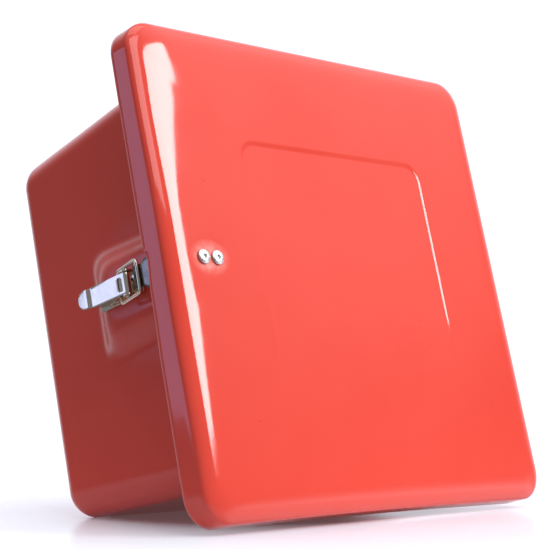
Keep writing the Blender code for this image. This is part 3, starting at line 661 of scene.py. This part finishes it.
def make_tub(gel, rough, edge):
    """The tub and its flange as one closed skin: gel coat outside, trimmed edge, laminate inside."""
    rings = tub_skin(0.0, TUB_LOW.z, FLANGE_BOTTOM)
    rings.append(flange_ring(EDGE_EASE, FLANGE_BOTTOM))
    first_edge = len(rings)
    rings.append(flange_ring(0.0, FLANGE_BOTTOM + EDGE_EASE))
    rings.append(flange_ring(0.0, FLANGE_TOP - EDGE_EASE))
    first_top = len(rings)
    rings.append(flange_ring(EDGE_EASE, FLANGE_TOP))
    inner = tub_skin(WALL, TUB_LOW.z + WALL, FLANGE_TOP)
    first_inner = len(rings)
    rings += reversed(inner)
    tub = loft("tub_shell", rings, ((0, 0), (first_edge, 2), (first_top - 1, 0), (first_inner, 1)))
    settle(tub, "tub_body", "gelcoat_red", (gel, rough, edge), "tub")


# ---------------------------------------------------------------- latch

def strip(name, rows, thickness, bevel=0.25 * MM, cutters=()):
    """Bent sheet metal through rows of (out, z, half width), thickened both ways, cut and eased."""
    bm = bmesh.new()
    columns = 8
    loops = []
    for out, z, half in rows:
        loops.append([bm.verts.new((half * (2 * c / columns - 1), -out, z)) for c in range(columns + 1)])
    for low, high in zip(loops, loops[1:]):
        for c in range(columns):
            bm.faces.new((low[c], low[c + 1], high[c + 1], high[c]))
    item = finish_mesh(name, bm)
    solid = item.modifiers.new("thickness", "SOLIDIFY")
    solid.thickness = thickness
    solid.offset = 0
    solid.use_even_offset = True
    for cutter in cutters:
        hole = item.modifiers.new("hole", "BOOLEAN")
        hole.object = cutter
        hole.operation = "DIFFERENCE"
    soften(item, bevel, 2)
    return item


def soften(item, width, segments):
    """Round over sharp edges, then bake the modifiers into the mesh."""
    bevel = item.modifiers.new("bevel", "BEVEL")
    bevel.width = width
    bevel.segments = segments
    bevel.limit_method = "ANGLE"
    bevel.angle_limit = math.radians(40)
    bake(item)


def bake(item):
    """Replace an object's mesh by its evaluated one."""
    bpy.context.view_layer.update()
    evaluated = item.evaluated_get(bpy.context.evaluated_depsgraph_get())
    mesh = bpy.data.meshes.new_from_object(evaluated)
    mesh.name = item.name
    bm = bmesh.new()
    bm.from_mesh(mesh)
    bmesh.ops.recalc_face_normals(bm, faces=bm.faces)
    bm.to_mesh(mesh)
    bm.free()
    item.modifiers.clear()
    item.data = mesh
    mesh.shade_smooth()
    mesh.set_sharp_from_angle(angle=math.radians(38))


CUTTERS = []


def cutting_rod(start, end, radius):
    """A hidden round bar that only serves to cut a hole."""
    start, end = Vector(start), Vector(end)
    turn = (end - start).to_track_quat("Z", "Y").to_matrix().to_4x4()
    bm = bmesh.new()
    bmesh.ops.create_cone(
        bm, cap_ends=True, segments=32, radius1=radius, radius2=radius, depth=(end - start).length,
        matrix=Matrix.Translation((start + end) / 2) @ turn,
    )
    return hidden(finish_mesh("cutter", bm))


def cutting_block(low, high):
    """A hidden block that only serves to cut a slot."""
    bm = bmesh.new()
    size = Vector(high) - Vector(low)
    middle = (Vector(high) + Vector(low)) / 2
    bmesh.ops.create_cube(bm, size=1, matrix=Matrix.Translation(middle) @ Matrix.Diagonal((*size, 1)))
    return hidden(finish_mesh("cutter", bm))


def hidden(item):
    """Keep a helper object out of sight, to be removed at the end."""
    item.hide_render = True
    CUTTERS.append(item)
    return item


def arc(centre, radius, start, end, steps):
    """Points (out, z) round an arc in degrees, with 0 pointing out and 90 up."""
    angles = [math.radians(start + (end - start) * n / steps) for n in range(steps + 1)]
    return [(centre[0] + radius * math.cos(a), centre[1] + radius * math.sin(a)) for a in angles]


def join_pieces(main, others):
    """Boolean-join meshes into the first one."""
    for other in others:
        union = main.modifiers.new("join", "BOOLEAN")
        union.object = hidden(other)
        union.operation = "UNION"
    bake(main)


def side_plate(name, points, x_middle, half_width):
    """A flat plate whose outline is (out, z) points, standing across X."""
    bm = bmesh.new()
    ring = [bm.verts.new((x_middle - half_width, -out, z)) for out, z in points]
    face = bm.faces.new(ring)
    grown = bmesh.ops.extrude_face_region(bm, geom=[face])
    moved = [v for v in grown["geom"] if isinstance(v, bmesh.types.BMVert)]
    bmesh.ops.translate(bm, verts=moved, vec=(2 * half_width, 0, 0))
    bmesh.ops.recalc_face_normals(bm, faces=bm.faces)
    return finish_mesh(name, bm)


LEVER_HALF = LEVER_HIGH.x
TAB_OUT = -LEVER_LOW.y - SHEET / 2               # middle of the thumb tab's sheet
FACE_OUT = TAB_OUT - 1.6 * MM                    # middle of the channel's sheet, a step further in
TAB_RADIUS = LEVER_HALF - 0.5 * MM
CHANNEL_LOW = LEVER_LOW.z + 11.5 * MM
CHANNEL_HIGH = BAIL_PIVOT.z + 3 * MM
BEND_Z = BAIL_PIVOT.z - 0.5 * MM                 # height of the shallow bend across the channel
BEND_DROP = 0.12 * MM
ROLL_RADIUS = 2.6 * MM - SHEET / 2
SLOT_HALF_WIDTH = 4.2 * MM
FLANK_DEPTH = 6.9 * MM
BAIL_HOLE = 1.35 * MM
SIDE_GAP = 0.01 * MM                             # keeps two joined plates from sharing a face
PIVOT = (-LEVER_PIVOT.y, LEVER_PIVOT.z)


def lever_rows():
    """The lever's sheet from the round tab, over the step and the bend, to the roll round the pin."""
    rows = []
    for step in range(1, 10):
        angle = math.radians(10 * step)
        z = LEVER_LOW.z + TAB_RADIUS * (1 - math.cos(angle))
        rows.append((TAB_OUT, z, TAB_RADIUS * math.sin(angle)))
    rows.append((TAB_OUT, CHANNEL_LOW - 3.4 * MM, TAB_RADIUS))
    rows.append((TAB_OUT - 0.2 * MM, CHANNEL_LOW - 2.8 * MM, TAB_RADIUS))
    rows.append((FACE_OUT + 0.2 * MM, CHANNEL_LOW - 1.4 * MM, TAB_RADIUS + 0.1 * MM))
    rows.append((FACE_OUT, CHANNEL_LOW - 0.8 * MM, TAB_RADIUS + 0.2 * MM))
    rows.append((FACE_OUT, CHANNEL_LOW, LEVER_HALF))
    rows.append((FACE_OUT, BEND_Z - 0.4 * MM, LEVER_HALF))
    rows.append((FACE_OUT - BEND_DROP, BEND_Z + 0.4 * MM, LEVER_HALF))
    rows += [(out, z, LEVER_HALF) for out, z in arc(PIVOT, ROLL_RADIUS, 0, 262, 22)]
    return rows


def make_flank(side):
    """One folded side of the channel, with rounded inner corners and the hole for the bail."""
    inner = FACE_OUT - FLANK_DEPTH
    outer = FACE_OUT + 0.1 * MM
    shape = [(outer, CHANNEL_LOW + 0.6 * MM)]
    shape += arc((inner + 2.5 * MM, CHANNEL_LOW + 3.4 * MM), 2.5 * MM, 270, 180, 5)
    shape += arc((inner + 3 * MM, CHANNEL_HIGH - 4 * MM), 3 * MM, 180, 90, 5)
    shape += [(outer, CHANNEL_HIGH - MM)]
    plate = side_plate("flank", shape, side * (LEVER_HALF - SHEET / 2), SHEET / 2 - SIDE_GAP)
    near = (side * (LEVER_HALF - 3 * SHEET), BAIL_PIVOT.y, BAIL_PIVOT.z)
    far = (side * (LEVER_HALF + 3 * SHEET), BAIL_PIVOT.y, BAIL_PIVOT.z)
    cut = plate.modifiers.new("hole", "BOOLEAN")
    cut.object = cutting_rod(near, far, BAIL_HOLE)
    bake(plate)
    return plate


def make_lever(steel):
    """Thumb tab, step, folded channel, shallow bend, slot and the end rolled round the pin."""
    slot = cutting_block(
        (-SLOT_HALF_WIDTH, LEVER_LOW.y - MM, CHANNEL_HIGH + 0.6 * MM),
        (SLOT_HALF_WIDTH, LEVER_PIVOT.y, CHANNEL_HIGH + 2.2 * MM),
    )
    lever = strip("lever_sheet", lever_rows(), SHEET, 0.22 * MM, [slot])
    join_pieces(lever, [make_flank(side) for side in (-1, 1)])
    soften(lever, 0.18 * MM, 2)
    settle(lever, "lever_body", "bright_steel", (steel,), "latch_lever")


BAIL_WIRE = 1.1 * MM                             # the wire's radius
BAIL_CORNER = 2.4 * MM
BAIL_END = 5.5 * MM                              # length of the ends turned in through the lever


def bail_points():
    """Half of the wire's path as (x, distance along the loop), mirrored into the whole loop."""
    foot = Vector((0, BAIL_PIVOT.y, BAIL_PIVOT.z))
    top = Vector((0, BAIL_LOW.y + BAIL_WIRE, BAIL_HIGH.z - BAIL_WIRE))
    up = (top - foot).normalized()
    length = (top - foot).length
    half = BAIL_HIGH.x - BAIL_WIRE
    path = [(half - BAIL_END, 0.0)]
    for step in range(9):
        angle = math.radians(90 * step / 8)
        x = half - BAIL_CORNER * (1 - math.sin(angle))
        path.append((x, BAIL_CORNER * (1 - math.cos(angle))))
    for step in range(9):
        angle = math.radians(90 * step / 8)
        x = half - BAIL_CORNER * (1 - math.cos(angle))
        path.append((x, length - BAIL_CORNER * (1 - math.sin(angle))))
    points = [foot + Vector((-x, 0, 0)) + up * along for x, along in path]
    points += [foot + Vector((x, 0, 0)) + up * along for x, along in reversed(path)]
    return points


def wire(name, points, radius):
    """A round wire along points, as a closed skin still open to editing."""
    curve = bpy.data.curves.new(name, "CURVE")
    curve.dimensions = "3D"
    curve.bevel_depth = radius
    curve.bevel_resolution = 6
    curve.use_fill_caps = True
    spline = curve.splines.new("POLY")
    spline.points.add(len(points) - 1)
    for spot, point in zip(spline.points, points):
        spot.co = (*point, 1)
    line = bpy.data.objects.new(name, curve)
    bpy.context.scene.collection.objects.link(line)
    bpy.context.view_layer.update()
    mesh = bpy.data.meshes.new_from_object(line.evaluated_get(bpy.context.evaluated_depsgraph_get()))
    bpy.data.objects.remove(line)
    bm = bmesh.new()
    bm.from_mesh(mesh)
    bmesh.ops.remove_doubles(bm, verts=bm.verts, dist=0.01 * MM)
    bpy.data.meshes.remove(mesh)
    return bm


def make_bail(steel):
    """The wire loop, with round corners and its ends turned in through the lever."""
    bm = wire("bail_wire", bail_points(), BAIL_WIRE)
    settle(finish_mesh("bail_loop", bm), "bail_body", "bright_steel", (steel,), "latch_bail")


def make_keeper(steel):
    """The strap under the lid, down inside the rim and out into the hook under the bail."""
    wide = KEEPER_HIGH.x
    hook_half = 6.9 * MM
    flat_z = KEEPER_HIGH.z - SHEET / 2
    leg_out = LID_HALF_Y - WALL - 0.4 * MM - SHEET / 2
    bend = 7 * MM - SHEET / 2
    hook_radius = 1.4 * MM + SHEET / 2
    hook = (leg_out + hook_radius, KEEPER_LOW.z + hook_radius + SHEET / 2)
    neck = RIM_BOTTOM - 4 * MM
    rows = [(-KEEPER_HIGH.y, flat_z, wide)]
    rows += [(out, z, wide) for out, z in arc((leg_out - bend, flat_z - bend), bend, 90, 0, 12)]
    rows += [(leg_out, neck + 0.4 * MM, wide), (leg_out, neck - 0.8 * MM, wide - 1.2 * MM)]
    rows += [(leg_out, neck - 1.5 * MM, hook_half)]
    rows += [(out, z, hook_half) for out, z in arc(hook, hook_radius, 180, 315, 16)]
    keeper = strip("keeper_strap", rows, SHEET, 0.2 * MM)
    settle(keeper, "lid_body", "bright_steel", (steel,), "latch_keeper")


def make_latch_base(steel):
    """The base plate with rounded ends and the two ears that carry the lever's pin."""
    outer = -BASE_HIGH.y + SHEET
    half = BASE_HIGH.x
    low, high = BASE_LOW.z, BASE_HIGH.z
    corner = 2.5 * MM
    bm = bmesh.new()
    ring = []
    for cx, cz, start in ((1, 1, 0), (-1, 1, 90), (-1, -1, 180), (1, -1, 270)):
        for step in range(7):
            angle = math.radians(start + 15 * step)
            x = cx * (half - corner) + corner * math.cos(angle)
            z = (high if cz > 0 else low) - cz * corner + corner * math.sin(angle)
            ring.append(bm.verts.new((x, -outer, z)))
    face = bm.faces.new(ring)
    grown = bmesh.ops.extrude_face_region(bm, geom=[face])
    moved = [v for v in grown["geom"] if isinstance(v, bmesh.types.BMVert)]
    bmesh.ops.translate(bm, verts=moved, vec=(0, SHEET, 0))
    bmesh.ops.recalc_face_normals(bm, faces=bm.faces)
    base = finish_mesh("latch_plate", bm)
    tip = arc(PIVOT, 3.4 * MM, 90, -90, 16)
    root = outer - 0.5 * SHEET
    shape = tip + [(root, LEVER_PIVOT.z - 6 * MM), (root, LEVER_PIVOT.z + 6 * MM)]
    middle = half - SHEET / 2
    ears = [side_plate("ear", shape, side * middle, SHEET / 2 - SIDE_GAP) for side in (-1, 1)]
    join_pieces(base, ears)
    soften(base, 0.2 * MM, 2)
    settle(base, "tub_body", "bright_steel", (steel,), "latch_base")


# ---------------------------------------------------------------- rivets and pins

def lathe(name, profile, matrix, steps=40):
    """A turned solid from (radius, height) points, top to bottom, spun about its own Z axis."""
    bm = bmesh.new()
    rings = []
    for radius, height in profile:
        if radius < 0.00001:
            rings.append([bm.verts.new(matrix @ Vector((0, 0, height)))])
            continue
        ring = []
        for step in range(steps):
            angle = 2 * math.pi * step / steps
            spot = Vector((radius * math.cos(angle), radius * math.sin(angle), height))
            ring.append(bm.verts.new(matrix @ spot))
        rings.append(ring)
    for upper, lower in zip(rings, rings[1:]):
        for step in range(steps):
            after = (step + 1) % steps
            corners = [upper[step % len(upper)], upper[after % len(upper)]]
            corners += [lower[after % len(lower)], lower[step % len(lower)]]
            unique = list(dict.fromkeys(corners))
            if len(unique) > 2:
                bm.faces.new(unique)
    bmesh.ops.recalc_face_normals(bm, faces=bm.faces)
    return finish_mesh(name, bm, 50)


MANDREL_HOLE = 1.15 * MM
ROLLED_EDGE = 0.25 * MM
RIVET_SHANK = 2 * MM
DOME_SHARE = 0.32                                # height of a rivet's dome over the radius of its head


def rivet_head(head):
    """Profile of the domed head from its mandrel hole to its flat underside."""
    dome = DOME_SHARE * head
    foot = -dome
    profile = [(0, foot + 0.1 * MM), (MANDREL_HOLE * 0.45, foot + 0.5 * MM), (MANDREL_HOLE, foot + 0.2 * MM)]
    profile += [(MANDREL_HOLE, -ROLLED_EDGE), (MANDREL_HOLE + ROLLED_EDGE, 0)]
    for step in range(1, 9):
        angle = math.radians(90 * step / 8)
        reach = MANDREL_HOLE + ROLLED_EDGE + (head - MANDREL_HOLE - ROLLED_EDGE) * math.sin(angle)
        profile.append((reach, foot + ROLLED_EDGE + (dome - ROLLED_EDGE) * math.cos(angle)))
    return profile + [(head - 0.1 * MM, foot), (RIVET_SHANK, foot)]


def rivet_tail(length):
    """Profile of the shank's end and the swollen blind side."""
    end = -length
    profile = [(RIVET_SHANK, end + 2.4 * MM), (2.5 * MM, end + 2.0 * MM), (2.8 * MM, end + 1.3 * MM)]
    return profile + [(2.5 * MM, end + 0.6 * MM), (1.5 * MM, end), (0, end)]


def make_rivet(node, body, inward, metal):
    """A blind rivet: domed head with a rolled rim and mandrel hole, shank, and swollen tail."""
    low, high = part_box(node)
    middle = (low + high) / 2
    inward = Vector(inward)
    size = high - low
    length = abs(size.dot(inward))
    head = (size - length * Vector([abs(c) for c in inward])).length / math.sqrt(2) / 2
    top = middle - inward * length / 2
    profile = rivet_head(head) + rivet_tail(length)
    turn = (-inward).to_track_quat("Z", "Y").to_matrix().to_4x4()
    rivet = lathe(f"{node}_turned", profile, Matrix.Translation(top) @ turn)
    settle(rivet, body, "rivet_aluminium", (metal,), node)


def make_rivets(metal):
    """All the rivets, each with the body that it fastens to."""
    for number in (1, 2):
        make_rivet(f"keeper_rivet_{number}", "lid_body", (0, 0, -1), metal)
        make_rivet(f"latch_base_rivet_{number}", "tub_body", (0, 1, 0), metal)
        for side in ("left", "right"):
            make_rivet(f"{side}_hinge_tub_rivet_{number}", "tub_body", (0, -1, 0), metal)
            make_rivet(f"{side}_hinge_lid_rivet_{number}", "lid_body", (0, -1, 0), metal)


def make_pin(node, slot_name, radius, metal):
    """A headed pin along X."""
    low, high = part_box(node)
    middle = (low + high) / 2
    half = (high.x - low.x) / 2
    head = (high.z - low.z) / 2
    thick = 0.5 * MM
    profile = [(0, half), (radius, half), (head - 0.2 * MM, half - 0.1 * MM), (head, half - 0.3 * MM)]
    profile += [(head, half - thick), (radius, half - thick)]
    profile += [(r, -h) for r, h in reversed(profile)]
    turn = Matrix.Rotation(math.radians(90), 4, "Y")
    pin = lathe(f"{node}_turned", profile, Matrix.Translation(middle) @ turn, 32)
    settle(pin, "tub_body", slot_name, (metal,), node)


# ---------------------------------------------------------------- studio

def make_floor():
    """A glossy white sheet under the tilted box that fades out into the white surroundings."""
    lowest = min(UP.dot(v.co) for name in ("lid", "tub") for v in NODES[name].data.vertices)
    centre = MIDDLE + UP * (lowest - UP.dot(MIDDLE))
    turn = UP.to_track_quat("Z", "Y").to_matrix().to_4x4()
    bm = bmesh.new()
    bmesh.ops.create_grid(bm, x_segments=4, y_segments=4, size=1.1)
    floor = finish_mesh("floor", bm)
    floor.matrix_world = Matrix.Translation(centre) @ turn
    shader = Shader("floor_white", (0.86, 0.86, 0.93), 0.16)
    shader.set("IOR", 1.32)
    shader.set("Emission Color", (0.97, 0.95, 1.0, 1))
    shader.set("Emission Strength", 0.05)
    shader.set("Specular IOR Level", 0.14)
    length = shader.add("ShaderNodeVectorMath", operation="LENGTH")
    shader.link(shader.place, length.inputs[0])
    near = shader.spread(length.outputs["Value"], 0.10, 0.34, 1.0, 0.0)
    facing = shader.add("ShaderNodeNewGeometry").outputs["Backfacing"]
    front = shader.math("SUBTRACT", 1.0, facing)
    shader.link(shader.math("MULTIPLY", near, front), shader.surface.inputs["Alpha"])
    shader.roughness_from(shader.spread(shader.noise(5, 2), 0.3, 0.7, 0.13, 0.2))
    floor.data.materials.append(shader.material)


def add_light(name, azimuth, elevation, distance, width, height, radiance, tint=(1, 1, 1)):
    """A soft box of the given size, aimed at the middle of the lunch box."""
    data = bpy.data.lights.new(name, "AREA")
    data.shape = "RECTANGLE"
    data.size = width
    data.size_y = height
    data.energy = radiance * math.pi * width * height
    data.color = tint
    light = bpy.data.objects.new(name, data)
    bpy.context.scene.collection.objects.link(light)
    direction = studio_direction(azimuth, elevation)
    place = MIDDLE + distance * direction
    ahead = -direction
    right = ahead.cross(UP).normalized()
    up = right.cross(ahead).normalized()
    light.matrix_world = Matrix.Translation(place) @ Matrix((right, up, -ahead)).transposed().to_4x4()


def add_ramp(tree, direction, start, end, low, high):
    """A world value that rises smoothly towards one direction of the sky."""
    facing = tree.nodes.new("ShaderNodeVectorMath")
    facing.operation = "DOT_PRODUCT"
    place = tree.nodes.new("ShaderNodeTexCoord")
    tree.links.new(place.outputs["Generated"], facing.inputs[0])
    facing.inputs[1].default_value = direction
    ramp = tree.nodes.new("ShaderNodeMapRange")
    ramp.interpolation_type = "SMOOTHSTEP"
    ramp.inputs["From Min"].default_value = start
    ramp.inputs["From Max"].default_value = end
    ramp.inputs["To Min"].default_value = low
    ramp.inputs["To Max"].default_value = high
    tree.links.new(facing.outputs["Value"], ramp.inputs["Value"])
    return ramp.outputs["Result"]


def make_world():
    """A sky that looks white, but lights the box mostly from behind and above, and dimly in front."""
    world = bpy.data.worlds.new("studio")
    bpy.context.scene.world = world
    world.use_nodes = True
    tree = world.node_tree
    background = tree.nodes["Background"]
    background.inputs["Color"].default_value = (0.98, 1.0, 1.10, 1)
    behind = add_ramp(tree, studio_direction(180, 5), 0.35, 0.85, 0.22, 1.0)
    above = add_ramp(tree, UP, 0.45, 0.95, 0.0, 0.5)
    glow = add_ramp(tree, studio_direction(100, 45), 0.86, 0.99, 0.0, 0.8)
    table = add_ramp(tree, studio_direction(98, -20), 0.85, 0.97, 0.0, 1.3)
    total = behind
    for part in (above, glow, table):
        both = tree.nodes.new("ShaderNodeMath")
        both.operation = "ADD"
        tree.links.new(total, both.inputs[0])
        tree.links.new(part, both.inputs[1])
        total = both.outputs[0]
    path = tree.nodes.new("ShaderNodeLightPath")
    mix = tree.nodes.new("ShaderNodeMix")
    mix.data_type = "FLOAT"
    tree.links.new(path.outputs["Is Camera Ray"], mix.inputs["Factor"])
    tree.links.new(total, mix.inputs["A"])
    mix.inputs["B"].default_value = 1.12
    tree.links.new(mix.outputs["Result"], background.inputs["Strength"])


def make_studio():
    """Sky, floor and soft boxes: azimuth, elevation, distance, width, height and radiance."""
    make_world()
    make_floor()
    add_light("key_softbox", 69, 29.5, 1.6, 0.53, 0.68, 14.5)
    add_light("top_softbox", 0, 78, 1.5, 1.1, 0.8, 1.6)
    add_light("left_softbox", -84, 9, 1.6, 0.6, 0.70, 1.6, (0.46, 0.56, 1.0))
    add_light("front_softbox", 24, 44, 1.7, 0.9, 0.7, 3.2)
    bpy.context.scene.view_settings.view_transform = "Standard"


# ---------------------------------------------------------------- assembly

def main():
    """Build the whole picture: camera, studio, materials and every visible piece."""
    make_camera()
    make_studio()
    gel = gelcoat("gelcoat_red", RIVET_SPOT)
    rough = laminate("laminate_inside")
    edge = trimmed_edge("laminate_edge")
    steel = bright_steel("latch_steel", (0.82, 0.74, 0.62))
    # painted shade: a nearly black copy of the latch steel for the keeper, standing for the shadow it sits in
    # under the lid's rim; the hinge pins share it
    painted_shade_steel = bright_steel("keeper_painted_shade_steel", (0.22, 0.20, 0.19), 0.1, 0.36)
    hinge_steel = bright_steel("hinge_steel", (0.66, 0.67, 0.68), 0.2, 0.36)
    aluminium = dull_aluminium("rivet_aluminium")
    rubber = foam_rubber("seal_rubber")
    make_lid(gel, rough, edge)
    make_tub(gel, rough, edge)
    make_lever(steel)
    make_bail(steel)
    make_keeper(painted_shade_steel)
    make_latch_base(steel)
    make_rivets(aluminium)
    make_pin("latch_lever_pin", "plain_steel", 1.2 * MM, steel)
    for side in ("left", "right"):
        make_pin(f"{side}_hinge_pin", "plain_steel", 1.5 * MM, painted_shade_steel)
        for leaf in ("tub_leaf", "lid_leaf", "backing_plate"):
            dress(f"{side}_hinge_{leaf}", hinge_steel)
    dress("latch_backing_plate", hinge_steel)
    dress("lid_seal", rubber)
    for cutter in CUTTERS:
        bpy.data.objects.remove(cutter)


def dress(node, material):
    """Give a CAD node that stays in view its procedural material."""
    NODES[node].data.materials.clear()
    NODES[node].data.materials.append(material)


main()
